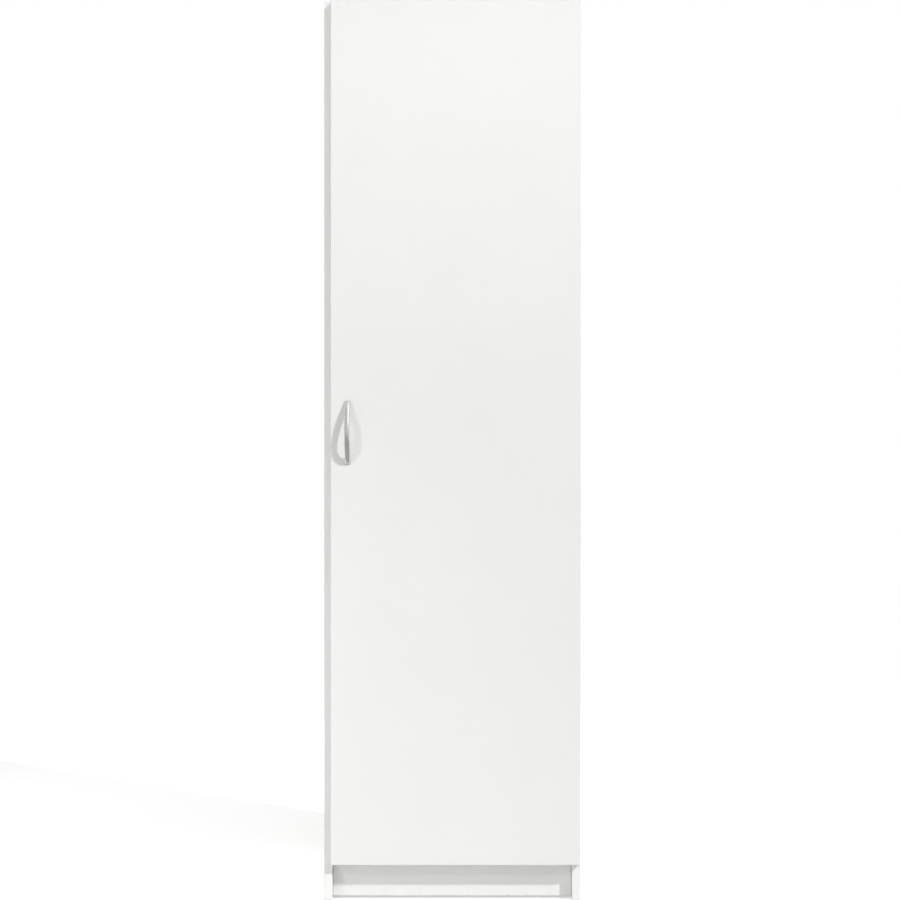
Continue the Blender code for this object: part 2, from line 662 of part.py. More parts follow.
def hinge_arm_mesh():
    """A pressed channel over the plate, open at its nose, with the lever's pin across it."""
    shoulder = ARM_PIN_DEPTH + ARM_NOSE_RADIUS
    nose = arc(ARM_PIN, ARM_NOSE_RADIUS, 180, ARM_NOSE_END, 2 * EYE_STEPS)
    outline = [(-ARM_HEIGHT, ARM_LENGTH), (-ARM_HEIGHT, shoulder)] + nose
    outline += [(-ARM_SKIRT, PLATE_RIDGE_FRONT), (-ARM_SKIRT, ARM_LENGTH)]
    body = prism(outline, -ARM_HALF, ARM_HALF)
    inside = ARM_HALF - ARM_WALL
    top, ceiling = -ARM_HEIGHT - SPARE, ARM_WALL - ARM_HEIGHT
    end = ARM_LENGTH + SPARE
    hollow = [(SPARE, -shoulder), (SPARE, end), (ceiling, end), (ceiling, shoulder)]
    hollow += [(top, shoulder), (top, -shoulder)]
    channel = prism(hollow, -inside, inside)
    pin = rod(HINGE_PIN_RADIUS, 2 * ARM_HALF, Z, (*ARM_PIN, -ARM_HALF))
    hole_start = (top, PLATE_RIDGE_FRONT + PLATE_POST / 2, 0)
    hole = rod(ARM_HOLE_RADIUS, ARM_WALL + 2 * SPARE, X, hole_start)
    slot_end = (PLATE_RIDGE_REAR - PLATE_POST / 2, 0)
    slot_outline = arc(slot_end, ARM_HOLE_RADIUS, 90, 270, EYE_STEPS)
    slot_outline += [(end, -ARM_HOLE_RADIUS), (end, ARM_HOLE_RADIUS)]
    slot = prism(slot_outline, top, ceiling + SPARE, PROFILE_ALONG_X)
    steps = (("DIFFERENCE", channel), ("DIFFERENCE", together([hole, slot])), ("UNION", pin))
    return carved("hinge_arm", body, *steps)


def lever_outline():
    """A gooseneck from the arm pin to the cup pin, with a round eye at each end."""
    ends = [Vector((*ARM_PIN, 0)), Vector((*CUP_PIN, 0))]
    pulls = [ends[0] + Vector((*LEVER_ARM_PULL, 0)), ends[1] + Vector((*LEVER_CUP_PULL, 0))]
    line = interpolate_bezier(ends[0], pulls[0], pulls[1], ends[1], LEVER_STEPS + 1)
    near, far = [], []
    for i, point in enumerate(line):
        run = line[min(i + 1, LEVER_STEPS)] - line[max(i - 1, 0)]
        across = Vector((-run.y, run.x, 0)).normalized()
        swell = abs(2 * i / LEVER_STEPS - 1) ** LEVER_SWELL
        half = LEVER_WAIST + (LEVER_EYE - LEVER_WAIST) * swell
        near.append(point + across * half)
        far.append(point - across * half)
    cup_eye = half_turn(ends[1], near[-1], -1)
    arm_eye = half_turn(ends[0], far[0], -1)
    outline = near + cup_eye + far[::-1] + arm_eye
    return [(p.x, p.y) for p in outline]


def half_turn(centre, start, way):
    """Points of the half circle that leads on from a start point round a centre."""
    spokes = []
    for i in range(1, EYE_STEPS):
        turn = Matrix.Rotation(way * math.pi * i / EYE_STEPS, 3, "Z")
        spokes.append(centre + turn @ (start - centre))
    return spokes


def hinge_lever_mesh():
    body = prism(lever_outline(), -LEVER_HALF, LEVER_HALF)
    reach = LEVER_HALF + SPARE
    eyes = []
    for pin in (ARM_PIN, CUP_PIN):
        eyes.append(rod(HINGE_PIN_RADIUS + HINGE_PIN_PLAY, 2 * reach, Z, (*pin, -reach)))
    return carved("hinge_lever", body, ("DIFFERENCE", together(eyes)))


def hinge_cup_mesh():
    """A cup let into the door, with wings on the door's rear face and the lever's pin across it."""
    rear = -DOOR_GAP
    flange = FIT + CUP_FLANGE
    profile = [(0, -flange), (CUP_RIM, -flange), (CUP_RIM, -FIT), (CUP_RADIUS, -FIT)]
    profile += [(CUP_RADIUS, CUP_DEPTH), (0, CUP_DEPTH)]
    body = moved(turned(profile, CUP_SIDES, -Y), (CUP_MIDDLE, rear, 0))
    wing_outline = rounded_bar(CUP_WING_HALF, CUP_WING_WIDTH)
    wings = prism(wing_outline, -flange, -FIT, PROFILE_UPRIGHT)
    wings = moved(wings, (CUP_MIDDLE - CUP_WING_OFFSET, rear, 0))
    inner = CUP_RADIUS - CUP_WALL
    depth = CUP_DEPTH - CUP_FLOOR
    cavity = rod(inner, depth + flange + SPARE, -Y, (CUP_MIDDLE, rear + flange + SPARE, 0), CUP_SIDES)
    chord = math.sqrt((CUP_RADIUS - CUP_WALL / 2) ** 2 - (CUP_MIDDLE - CUP_PIN.x) ** 2)
    pin = rod(HINGE_PIN_RADIUS, 2 * chord, Z, (*CUP_PIN, -chord))
    holes = []
    for end in (-1, 1):
        start = (CUP_MIDDLE - CUP_WING_OFFSET, rear + flange + SPARE, end * CUP_SCREW_HALF)
        holes.append(rod(CUP_HOLE_RADIUS, CUP_FLANGE + 2 * SPARE, -Y, start))
    hollows = together([cavity] + holes)
    return carved("hinge_cup", body, ("UNION", wings), ("DIFFERENCE", hollows), ("UNION", pin))


def hinges(levers, door):
    pieces = {
        "hinge_plate": (hinge_plate_mesh(), None),
        "hinge_arm": (hinge_arm_mesh(), None),
        "hinge_lever": (hinge_lever_mesh(), levers),
        "hinge_cup": (hinge_cup_mesh(), door),
    }
    for place_name, height in HINGES.items():
        for piece_name, (mesh, parent) in pieces.items():
            add(f"{piece_name}_{place_name}", mesh, "nickel steel", (INNER, FRONT, height), parent)


def main():
    clear_scene()
    levers = pivot("lever_axis", (INNER + ARM_PIN.x, FRONT + ARM_PIN.y, DOOR_MIDDLE))
    door = pivot("door_axis", (INNER + CUP_PIN.x, FRONT + CUP_PIN.y, DOOR_MIDDLE))
    for name, side in SIDES.items():
        side_panel(name + "_side_panel", side)
    for name, underside in BOLT_BOARDS.items():
        cross_board(name + "_panel", underside)
    hat_shelf()
    plinth_board()
    back_panels()
    back_joint_strip()
    shelf_pins()
    clothes_rail()
    rail_brackets()
    cam_locks()
    glides()
    door_panel(door)
    handle(door)
    handle_screws(door)
    door_bumpers(door)
    hinges(levers, door)


main()
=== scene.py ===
"""Looks of a one-door wardrobe: finishes, rounded fittings, screws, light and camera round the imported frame.

Units are metres, in the frame's own axes: the floor is z = 0 and the door faces -Y.
"""

import json
import math

import bmesh
import bpy
from mathutils import Matrix, Vector

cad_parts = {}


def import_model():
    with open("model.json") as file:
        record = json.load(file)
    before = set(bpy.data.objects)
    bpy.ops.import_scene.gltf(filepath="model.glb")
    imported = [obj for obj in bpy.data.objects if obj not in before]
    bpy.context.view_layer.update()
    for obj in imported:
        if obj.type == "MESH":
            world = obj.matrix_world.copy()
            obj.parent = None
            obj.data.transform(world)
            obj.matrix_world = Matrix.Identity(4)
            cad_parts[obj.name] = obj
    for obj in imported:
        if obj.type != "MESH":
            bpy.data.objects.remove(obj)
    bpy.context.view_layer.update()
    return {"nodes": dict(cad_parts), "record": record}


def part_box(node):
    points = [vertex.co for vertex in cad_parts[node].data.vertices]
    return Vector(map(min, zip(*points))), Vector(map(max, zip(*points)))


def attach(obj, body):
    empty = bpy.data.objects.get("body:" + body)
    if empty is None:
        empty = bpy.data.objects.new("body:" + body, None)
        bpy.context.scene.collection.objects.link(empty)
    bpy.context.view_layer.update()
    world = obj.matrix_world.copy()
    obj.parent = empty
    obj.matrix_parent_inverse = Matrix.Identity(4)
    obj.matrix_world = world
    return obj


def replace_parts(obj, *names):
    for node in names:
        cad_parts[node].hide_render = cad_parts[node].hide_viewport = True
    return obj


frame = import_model()
NODES = frame["nodes"]
BODIES = {node: body for body, nodes in frame["record"]["behaviour"]["bodies"].items() for node in nodes}

# Planes of the frame, and the words in the names of its nodes
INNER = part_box("right_side_panel")[0].x
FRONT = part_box("right_side_panel")[0].y
DOOR_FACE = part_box("door_panel")[0].y
DOOR_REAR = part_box("door_panel")[1].y
X, Y, Z = Vector((1, 0, 0)), Vector((0, 1, 0)), Vector((0, 0, 1))
ENDS = ("top", "bottom")
SIDES = ("left", "right")
HINGE_PLACES = ("top", "middle", "bottom")
HINGE_PARTS = ("plate", "arm", "lever", "cup")
CORNERS = [f"{end}_{side}" for end in ("front", "rear") for side in SIDES]

# Camera: level, in front of the middle of the door
PHOTO_SIZE = 900
PIXELS_PER_METRE = 514.5  # on the door's front face
CAMERA_DISTANCE = 4.0  # from the door's front face
CAMERA_PLACE = (-0.0043, 0.881)  # sideways and up
SENSOR = 36.0

# Light: a key from the upper right, a weak one from the left, and soft boxes
KEY_TRAVEL = (-1.08, 1.0, -1.19)
KEY_STRENGTH = 1.92
KEY_SPREAD = math.radians(3.0)
SIDE_TRAVEL = (0.9, 1.0, -0.7)
SIDE_STRENGTH = 0.47
SIDE_SPREAD = math.radians(6.0)
FILL_STRENGTH = 0.08
SOFT_BOXES = {  # place, what it faces, width and height, power
    "high_box": ((0, DOOR_FACE - 1.0, 1.75), (0, DOOR_FACE, 1.70), (2.6, 0.3), 5.9),
    "low_box": ((0, DOOR_FACE - 1.0, 0.27), (0, DOOR_FACE, 0.27), (2.6, 0.45), 2.4),
    "low_left_box": ((-1.0, DOOR_FACE - 1.0, 0.27), (-0.2, DOOR_FACE, 0.2), (1.6, 0.45), 3.2),
    "high_right_box": ((1.4, DOOR_FACE - 1.4, 2.1), (0.1, DOOR_FACE, 1.5), (1.2, 0.8), 2.3),
    "left_box": ((-2.4, 0.4, 0.9), (0, 0.4, 0.9), (1.2, 1.7), 17.0),
    "right_box": ((2.4, 0.6, 1.0), (0, 0.6, 1.0), (1.0, 1.7), 7.0),
    "back_box": ((0, 2.6, 1.2), (0, 0, 1.2), (2.0, 2.0), 19.0),
    "top_box": ((0, 0.3, 2.5), (0, 0.3, 0), (0.8, 0.7), 2.6),
}
FLOOR_HALF = 9.0
FLOOR_TONE = 0.65  # as it lights the object
FLOOR_SHADOW = 0.98  # as it is seen: the share that follows the light, and so keeps the shadow
FLOOR_GLOW = 0.49  # as it is seen: what is added everywhere
# Cards that glow though they are no lamps, and that only mirrors show: painted reflections in the metal, the
# grey ones painted shade on the handle's lower half and sides, the brightest a painted highlight along its
# upper half
CARDS = {  # brightness, then the corners of a card
    "low_card": (0.44, ((-3.0, -8.0, 0.02), (5.0, -8.0, 0.02), (1.7, -0.30, 0.02), (-3.0, -0.30, 0.02))),
    "left_card": (0.62, ((-3.0, -6.2, 0.03), (-3.0, -0.6, 0.03), (-3.0, -0.6, 14.0), (-3.0, -6.2, 14.0))),
    "front_card": (0.68, ((-3.0, -6.2, 0.03), (0.7, -6.2, 0.03), (0.7, -6.2, 14.0), (-3.0, -6.2, 14.0))),
    "right_card": (0.70, ((0.7, -6.2, 0.03), (4.0, -6.2, 0.03), (4.0, -6.2, 2.2), (0.7, -6.2, 2.2))),
    "highlight_card": (2.1, ((0.42, -2.4, 1.92), (1.15, -2.4, 1.92), (1.45, -1.0, 4.8), (0.60, -1.0, 4.8))),
}
CARD_HIDDEN_FROM = ("camera", "diffuse", "shadow", "transmission", "volume_scatter")

# Handle: a bow with a crowned front, hollowed behind by a flatter arc
HANDLE_TIP = 0.002  # height of the blunt ends
HANDLE_GRIP = 0.0042  # thickness in the middle
HANDLE_GAP = 0.050  # half of the finger gap
HANDLE_CROWN = 0.0032
HANDLE_EASE = 0.0005  # rounding of the rear edges
HANDLE_END_ROUND = 0.0011
HANDLE_SHARP = math.radians(50)
HANDLE_STEPS = 96
CROWN_STEPS = 28
EASE_STEPS = 4

# Fittings: rounding of their edges
HINGE_EDGE = 0.0003
STEEL_EDGE = 0.0004
PLASTIC_EDGE = 0.0003
RUBBER_EDGE = 0.0003
CAM_EDGE = 0.0002
EDGE_SEGMENTS = 2
SHARP = math.radians(32)  # edges that turn by more stay crisp
FLAT = math.radians(0.3)  # faces that turn by less become one
WELD = 1e-6

# Screws: sizes, and places on the fittings that they hold
SCREWS = {  # radius and height of the head, radius and length of the shank
    "pan_screw": (0.0034, 0.0018, 0.0017, 0.0022),
    "small_screw": (0.0028, 0.0014, 0.0014, 0.0024),
    "flat_screw": (0.0033, 0.0010, 0.0015, 0.0008),
    "grub_screw": (0.0020, 0.0008, 0.0018, 0.0012),
}
HEAD_UNDERSIDE = 0.96  # as a share of the head's radius
DOME_START = 0.35  # as a share of the head's height
DOME_STEPS = 6
LATHE_SIDES = 32
PLATE_FACE = INNER - 0.0028
PLATE_SCREW_LINE = FRONT + 0.037
PLATE_SCREW_HALF = 0.016
ARM_FACE = INNER - 0.024
ARM_FRONT_SCREW = FRONT + 0.020
ARM_REAR_SCREW = FRONT + 0.052
CUP_FACE = DOOR_REAR + 0.0012
CUP_SCREW_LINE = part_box("door_panel")[1].x - 0.0285
CUP_SCREW_HALF = 0.024
BRACKET_FACE = INNER - 0.0034
BRACKET_SCREW_HALF = 0.0185
HANDLE_SCREW_HEAD = 0.0024
HANDLE_SCREW_SHANK = 0.0019
RECESS_ARM = 0.62  # reach of the cross recess, as a share of the head's radius
RECESS_WIDTH = 0.17
RECESS_DEPTH = 0.7  # as a share of the head's height
RECESS_TAPER = 0.55
RECESS_TURN = math.radians(4.0)  # keeps its walls off the corners of the head
SCREW_TURN = 2.4  # radians from one screw's recess to the next
HANDLE_SCREW_TURNS = {"top": 0.4, "bottom": 1.4}

# Patterns below are a size and a detail of noise, some with a stretch, and bumps a strength and a height
NOISE_RANGE = (0.3, 0.7)  # where most of the noise lies

# Melamine board
WHITE_PALE = (0.872, 0.872, 0.858)
WHITE_DEEP = (0.852, 0.853, 0.838)
CLOUD_PATTERN = (0.35, 3.0)
BAND_TONE = (0.915, 0.915, 0.905)
BAND = 0.0010  # edge band's thickness, with the rounding of the edge
SEAM_TONE = (0.60, 0.59, 0.56)
SEAM_HALF = 0.00014
SEAM_SHARE = 0.55
SKIN = 0.0004  # depth of a board's outer faces
DUST_TONE = (0.70, 0.69, 0.66)
FLECK_PATTERN = (0.0016, 1.0)
FLECK_PEAKS = (0.66, 0.82)
FLECK_SHARE = 0.10
RUB_WIDTH = 0.004  # wear along the edge bands
RUB_PATTERN = (0.02, 4.0)
RUB_SHARE = 0.10
SCUFF_HEIGHT = 0.05  # wear above a board's lower end
SCUFF_PATTERN = (0.012, 5.0)
SCUFF_PEAKS = (0.55, 0.8)
SCUFF_SHARE = 0.12
SATIN_PATTERN = (0.06, 3.0)
SATIN_ROUGHNESS = (0.40, 0.50)
PEARL_PATTERN = (0.0009, 1.5)
PEARL_HEIGHT = 0.16  # as a share of the chips' height
BOARD_BUMP = (0.35, 0.0004)

# Chipboard inside it
CORE_START, CORE_FULL = 0.0007, 0.0009  # depth at which it starts to show
CHIP_TONES = ((0.23, 0.14, 0.075), (0.44, 0.30, 0.17), (0.63, 0.49, 0.32))
CHIP_CELLS = (0.0022, (1.0, 1.0, 1.4))
CHIP_RANGE = (0.1, 0.9)
CRUMB_PATTERN = (0.0011, 3.0)
CRUMB_PEAKS = (0.52, 0.72)
CHIP_ROUGHNESS = 0.92

# Fibreboard of the back
FIBRE_TONES = ((0.175, 0.106, 0.057), (0.305, 0.197, 0.114))
FIBRE_PATTERN = (0.0022, 6.0, (1.0, 1.0, 0.5))
FIBRE_SHARE = 0.4  # of the change in tone
FIBRE_ROUGHNESS = 0.78
CLUMP_PATTERN = (0.010, 5.0, (1.0, 1.0, 0.5))
CLUMP_SHARE = 0.4
SHADE_PATTERN = (0.18, 4.0)
SHADE_SHARE = 0.2
HAIR_TONE = CHIP_TONES[1]
HAIR_PATTERN = (0.0008, 3.0, (0.35, 1.0, 1.0))
HAIR_PEAKS = (0.58, 0.75)
HAIR_SHARE = 0.35
PAINT_TONES = ((0.80, 0.80, 0.785), (0.83, 0.83, 0.815))
PAINT_PATTERN = (0.25, 3.0)
PAINT_ROUGHNESS = 0.38
PEEL_PATTERN = (0.0025, 2.0)
PEEL_HEIGHT = 0.4  # as a share of the fibres' height
BACK_BUMP = (0.3, 0.0003)

# Metals
METALS = {  # pale and deep tone, roughness, pattern of the streaks
    "satin_nickel": ((0.75, 0.735, 0.70), (0.69, 0.675, 0.645), (0.19, 0.27), (0.0008, 4.0, (1, 1, 0.04))),
    "nickel_plate": ((0.74, 0.73, 0.70), (0.66, 0.65, 0.62), (0.16, 0.26), (0.0009, 4.0, (1, 0.2, 1))),
    "zinc_plate": ((0.70, 0.71, 0.72), (0.60, 0.61, 0.63), (0.24, 0.36), (0.0009, 4.0)),
    "chromed_tube": ((0.80, 0.80, 0.81), (0.74, 0.74, 0.75), (0.07, 0.14), (0.0015, 4.0, (0.6, 1, 1))),
}
STREAK_BUMP = (0.12, 0.00006)
MARK_PATTERN = (0.011, 4.0)
MARK_RANGE = (0.25, 0.75)
MARK_PEAKS = (0.55, 0.8)
MARK_ROUGHNESS = 0.08
ZINC_TONES = ((0.40, 0.41, 0.42), (0.56, 0.57, 0.58))
ZINC_STAIN = (0.006, 3.0)
ZINC_GRAIN = (0.0007, 4.0)
ZINC_ROUGHNESS = (0.38, 0.55)
ZINC_BUMP = (0.35, 0.0002)

# Plastic and rubber
PLASTIC_TONES = ((0.79, 0.79, 0.775), (0.83, 0.83, 0.82))
PLASTIC_FLOW = (0.02, 3.0)
PLASTIC_SPARK = (0.0006, 2.0)
PLASTIC_ROUGHNESS = (0.34, 0.46)
PLASTIC_BUMP = (0.25, 0.0001)
RUBBER_TONES = ((0.80, 0.80, 0.77), (0.90, 0.90, 0.88))
RUBBER_HAZE = (0.002, 3.0)
RUBBER_CLEARNESS = 0.6
RUBBER_IOR = 1.48
RUBBER_ROUGHNESS = (0.12, 0.28)
RUBBER_BUMP = (0.1, 0.0001)


class Shader:
    """A material's node tree, built by short calls. Places are in the frame's metres."""

    def __init__(self, name):
        self.material = bpy.data.materials.new(name)
        self.material.use_nodes = True
        self.tree = self.material.node_tree
        self.surface = self.tree.nodes["Principled BSDF"]
        self.place = self.node("ShaderNodeTexCoord").outputs["Object"]

    def node(self, kind, **settings):
        node = self.tree.nodes.new(kind)
        for key, value in settings.items():
            setattr(node, key, value)
        return node

    def feed(self, socket, value):
        """Links an output to a socket, or sets a number, a vector or a colour on it."""
        if isinstance(value, bpy.types.NodeSocket):
            self.tree.links.new(value, socket)
        elif socket.type == "RGBA":
            socket.default_value = (*value, 1.0)
        else:
            socket.default_value = value

    def finish(self, **values):
        """Feeds the surface's sockets, named with underscores, and returns the material."""
        for name, value in values.items():
            self.feed(self.surface.inputs[name.replace("_", " ")], value)
        return self.material

    def math(self, operation, *values):
        node = self.node("ShaderNodeMath", operation=operation)
        for socket, value in zip(node.inputs, values):
            self.feed(socket, value)
        return node.outputs[0]

    def least(self, values):
        result, *others = values
        for value in others:
            result = self.math("MINIMUM", result, value)
        return result

    def span(self, value, start, end, low=0.0, high=1.0):
        """The value mapped smoothly from one range to another."""
        node = self.node("ShaderNodeMapRange", interpolation_type="SMOOTHSTEP")
        for socket, item in zip(node.inputs, (value, start, end, low, high)):
            self.feed(socket, item)
        return node.outputs[0]

    def spread(self, noise, low=0.0, high=1.0):
        """Noise mapped smoothly over a whole range."""
        return self.span(noise, *NOISE_RANGE, low, high)

    def mix(self, share, low, high):
        """A colour between two colours."""
        node = self.node("ShaderNodeMix", data_type="RGBA")
        for socket, value in zip((node.inputs[0], node.inputs[6], node.inputs[7]), (share, low, high)):
            self.feed(socket, value)
        return node.outputs[2]

    def blend(self, share, low, high):
        """A number between two numbers."""
        node = self.node("ShaderNodeMix", data_type="FLOAT")
        for socket, value in zip((node.inputs[0], node.inputs[2], node.inputs[3]), (share, low, high)):
            self.feed(socket, value)
        return node.outputs[0]

    def stretched(self, stretch):
        """The frame's place, scaled along each axis."""
        node = self.node("ShaderNodeVectorMath", operation="MULTIPLY")
        self.feed(node.inputs[0], self.place)
        self.feed(node.inputs[1], stretch)
        return node.outputs[0]

    def noise(self, size, detail, stretch=(1, 1, 1)):
        """Noise from 0 to 1 whose features have about that size, longer where the stretch is small."""
        node = self.node("ShaderNodeTexNoise")
        self.feed(node.inputs["Vector"], self.stretched(stretch))
        self.feed(node.inputs["Scale"], 1.0 / size)
        self.feed(node.inputs["Detail"], detail)
        return node.outputs["Fac"]

    def cells(self, size, stretch):
        """A random number for each cell of about that size."""
        node = self.node("ShaderNodeTexVoronoi")
        self.feed(node.inputs["Vector"], self.stretched(stretch))
        self.feed(node.inputs["Scale"], 1.0 / size)
        split = self.node("ShaderNodeSeparateColor")
        self.feed(split.inputs[0], node.outputs["Color"])
        return split.outputs[0]

    def bump(self, height, strength, distance):
        node = self.node("ShaderNodeBump")
        self.feed(node.inputs["Height"], height)
        self.feed(node.inputs["Strength"], strength)
        self.feed(node.inputs["Distance"], distance)
        return node.outputs["Normal"]

    def depths(self, node):
        """Depth below each of the six faces of a node's box, by the face's direction."""
        split = self.node("ShaderNodeSeparateXYZ")
        self.feed(split.inputs[0], self.place)
        low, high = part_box(node)
        depths = {}
        for axis, name in enumerate("XYZ"):
            value = split.outputs[axis]
            depths["-" + name] = self.math("SUBTRACT", value, low[axis])
            depths["+" + name] = self.math("SUBTRACT", high[axis], value)
        return depths


def chips(s):
    """Colour and height of bare chipboard."""
    chip = s.cells(*CHIP_CELLS)
    crumb = s.noise(*CRUMB_PATTERN)
    tone = s.mix(s.span(chip, *CHIP_RANGE), CHIP_TONES[1], CHIP_TONES[2])
    tone = s.mix(s.span(crumb, *CRUMB_PEAKS), tone, CHIP_TONES[0])
    height = s.math("ADD", chip, crumb)
    return tone, height


def melamine(s, depths, banded):
    """Colour of white melamine with edge band on some edges, and wear on it."""
    band = s.least(depths[face] for face in banded)
    on_band = s.span(band, SKIN / 2, SKIN, 1.0, 0.0)
    from_seam = s.math("ABSOLUTE", s.math("SUBTRACT", band, BAND))
    seam = s.span(from_seam, 0.0, SEAM_HALF, SEAM_SHARE, 0.0)
    near_band = s.span(band, 0.0, RUB_WIDTH, RUB_SHARE, 0.0)
    rub = s.math("MULTIPLY", near_band, s.noise(*RUB_PATTERN))
    near_foot = s.span(depths["-Z"], 0.0, SCUFF_HEIGHT, SCUFF_SHARE, 0.0)
    scuff = s.math("MULTIPLY", near_foot, s.span(s.noise(*SCUFF_PATTERN), *SCUFF_PEAKS))
    fleck = s.span(s.noise(*FLECK_PATTERN), *FLECK_PEAKS, 0.0, FLECK_SHARE)
    tone = s.mix(s.spread(s.noise(*CLOUD_PATTERN)), WHITE_DEEP, WHITE_PALE)
    tone = s.mix(fleck, tone, DUST_TONE)
    tone = s.mix(on_band, tone, BAND_TONE)
    tone = s.mix(s.math("ADD", rub, scuff), tone, DUST_TONE)
    return s.mix(seam, tone, SEAM_TONE)


def board(node, banded, raw=()):
    """White melamine with edge band on some edges, and chipboard where it is bare or bored."""
    s = Shader(node + "_finish")
    depths = s.depths(node)
    bare = s.span(s.least(depths.values()), CORE_START, CORE_FULL)
    for face in raw:
        bare = s.math("MAXIMUM", bare, s.span(depths[face], SKIN / 2, SKIN, 1.0, 0.0))
    white = melamine(s, depths, banded)
    chip_tone, chip_height = chips(s)
    pearl = s.math("MULTIPLY", s.noise(*PEARL_PATTERN), PEARL_HEIGHT)
    satin = s.spread(s.noise(*SATIN_PATTERN), *SATIN_ROUGHNESS)
    return s.finish(
        Base_Color=s.mix(bare, white, chip_tone),
        Roughness=s.blend(bare, satin, CHIP_ROUGHNESS),
        Normal=s.bump(s.blend(bare, pearl, chip_height), *BOARD_BUMP),
    )


def back_board(node):
    """Thin fibreboard: white paint on its inner face, brown fibres on its rear and edges."""
    s = Shader(node + "_finish")
    brown = s.span(s.depths(node)["-Y"], SKIN / 2, SKIN)
    fibre = s.noise(*FIBRE_PATTERN)
    clump = s.spread(s.noise(*CLUMP_PATTERN), 0.0, CLUMP_SHARE)
    shade = s.spread(s.noise(*SHADE_PATTERN), 0.0, SHADE_SHARE)
    pale = s.math("ADD", s.spread(fibre, 0.0, FIBRE_SHARE), s.math("ADD", clump, shade))
    hair = s.noise(*HAIR_PATTERN)
    fibres = s.mix(pale, *FIBRE_TONES)
    fibres = s.mix(s.span(hair, *HAIR_PEAKS, 0.0, HAIR_SHARE), fibres, HAIR_TONE)
    paint = s.mix(s.spread(s.noise(*PAINT_PATTERN)), *PAINT_TONES)
    peel = s.math("MULTIPLY", s.noise(*PEEL_PATTERN), PEEL_HEIGHT)
    height = s.blend(brown, peel, s.math("ADD", fibre, hair))
    return s.finish(
        Base_Color=s.mix(brown, paint, fibres),
        Roughness=s.blend(brown, PAINT_ROUGHNESS, FIBRE_ROUGHNESS),
        Normal=s.bump(height, *BACK_BUMP),
    )


def metal(name):
    """Plated or polished metal, whose gloss varies along fine streaks and faint handling marks."""
    pale, deep, roughness, streak_pattern = METALS[name]
    s = Shader(name)
    streaks = s.noise(*streak_pattern)
    marks = s.noise(*MARK_PATTERN)
    dulled = s.span(marks, *MARK_PEAKS, 0.0, MARK_ROUGHNESS)
    return s.finish(
        Base_Color=s.mix(s.span(marks, *MARK_RANGE), deep, pale),
        Metallic=1.0,
        Roughness=s.math("ADD", s.spread(streaks, *roughness), dulled),
        Normal=s.bump(streaks, *STREAK_BUMP),
    )


def cast_zinc():
    """Dull grey metal with the grain of a casting."""
    s = Shader("cast_zinc")
    grain = s.noise(*ZINC_GRAIN)
    return s.finish(
        Base_Color=s.mix(s.spread(s.noise(*ZINC_STAIN)), *ZINC_TONES),
        Metallic=1.0,
        Roughness=s.spread(grain, *ZINC_ROUGHNESS),
        Normal=s.bump(grain, *ZINC_BUMP),
    )


def moulded_plastic():
    """White plastic with the fine texture of its mould."""
    s = Shader("moulded_plastic")
    spark = s.noise(*PLASTIC_SPARK)
    return s.finish(
        Base_Color=s.mix(s.spread(s.noise(*PLASTIC_FLOW)), *PLASTIC_TONES),
        Roughness=s.spread(spark, *PLASTIC_ROUGHNESS),
        Normal=s.bump(spark, *PLASTIC_BUMP),
    )


def clear_rubber():
    """Soft clear rubber with some haze."""
    s = Shader("clear_rubber")
    haze = s.noise(*RUBBER_HAZE)
    return s.finish(
        Base_Color=s.mix(s.spread(haze), *RUBBER_TONES),
        Transmission_Weight=RUBBER_CLEARNESS,
        IOR=RUBBER_IOR,
        Roughness=s.spread(haze, *RUBBER_ROUGHNESS),
        Normal=s.bump(haze, *RUBBER_BUMP),
    )


def link(obj):
    bpy.context.scene.collection.objects.link(obj)


def middle(node):
    low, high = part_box(node)
    return (low + high) / 2


def as_mesh(name, shape, material, sharp=SHARP):
    """The shape as a smooth mesh with sharp edges where it turns."""
    mesh = bpy.data.meshes.new(name)
    shape.to_mesh(mesh)
    shape.free()
    if "custom_normal" in mesh.attributes:
        mesh.attributes.remove(mesh.attributes["custom_normal"])
    mesh.shade_smooth()
    mesh.set_sharp_from_angle(angle=sharp)
    mesh.materials.append(material)
    return mesh


def piece(name, mesh, body, matrix=Matrix.Identity(4)):
    """A new object that rides on a body."""
    obj = bpy.data.objects.new(name, mesh)
    link(obj)
    obj.matrix_world = matrix
    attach(obj, body)
    return obj


def refined(name, material, edge=0.0):
    """A copy of a CAD fitting with rounded edges and smooth round faces, which stands for it."""
    shape = bmesh.new()
    shape.from_mesh(NODES[name].data)
    bmesh.ops.remove_doubles(shape, verts=shape.verts, dist=WELD)
    bmesh.ops.dissolve_limit(shape, angle_limit=FLAT, verts=shape.verts, edges=shape.edges)
    mesh = as_mesh(name + "_form", shape, material)
    form = piece(name + "_form", mesh, BODIES[name])
    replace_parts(form, name)
    if edge:
        bevel = form.modifiers.new("edge", "BEVEL")
        bevel.width = edge
        bevel.segments = EDGE_SEGMENTS
        bevel.limit_method = "ANGLE"
        bevel.angle_limit = SHARP
        bevel.harden_normals = True


def lathe(profile):
    """A body turned round Z from (radius, height) points, from axis to axis."""
    shape = bmesh.new()
    rings = []
    for radius, height in profile:
        count = LATHE_SIDES if radius else 1
        angles = [2 * math.pi * i / count for i in range(count)]
        rings.append([shape.verts.new((radius * math.cos(a), radius * math.sin(a), height)) for a in angles])
    for lower, upper in zip(rings, rings[1:]):
        for i in range(LATHE_SIDES):
            left = [ring[i % len(ring)] for ring in (lower, upper)]
            right = [ring[(i + 1) % len(ring)] for ring in (lower, upper)]
            shape.faces.new(dict.fromkeys([left[0], right[0], right[1], left[1]]))
    bmesh.ops.recalc_face_normals(shape, faces=shape.faces)
    return shape


